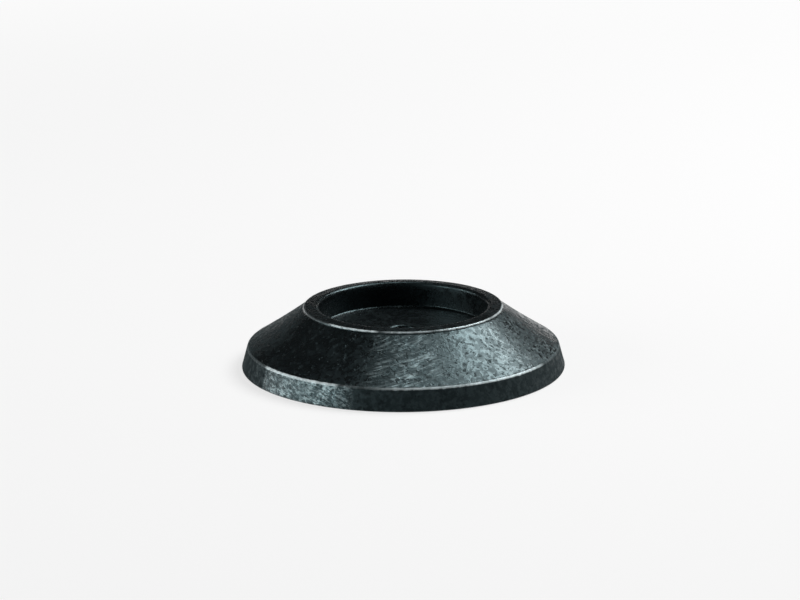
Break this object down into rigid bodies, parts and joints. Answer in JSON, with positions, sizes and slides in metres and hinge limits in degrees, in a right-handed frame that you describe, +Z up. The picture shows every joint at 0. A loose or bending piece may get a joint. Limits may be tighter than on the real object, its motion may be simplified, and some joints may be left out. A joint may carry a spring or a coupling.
{
  "type": "rubber end cap",
  "caption": "Low conical rubber end cap that presses onto a round tube as its foot, with a flared rim, a narrow neck lip, a hollow underside and a central stud hole.",
  "frame": {"origin": "centre of the foot ring, on the surface that the cap stands on", "axes": "+Z up along the tube's axis, out of the tube socket; the cap is round, so X and Y are free"},
  "size_m": [0.0864, 0.0864, 0.0168],
  "materials": {
    "rubber": "black moulded rubber, satin, with a dusty grey bloom and scuffs"
  },
  "bodies": {
    "root": {"rubber_end_cap": "rubber"}
  },
  "joints": []
}
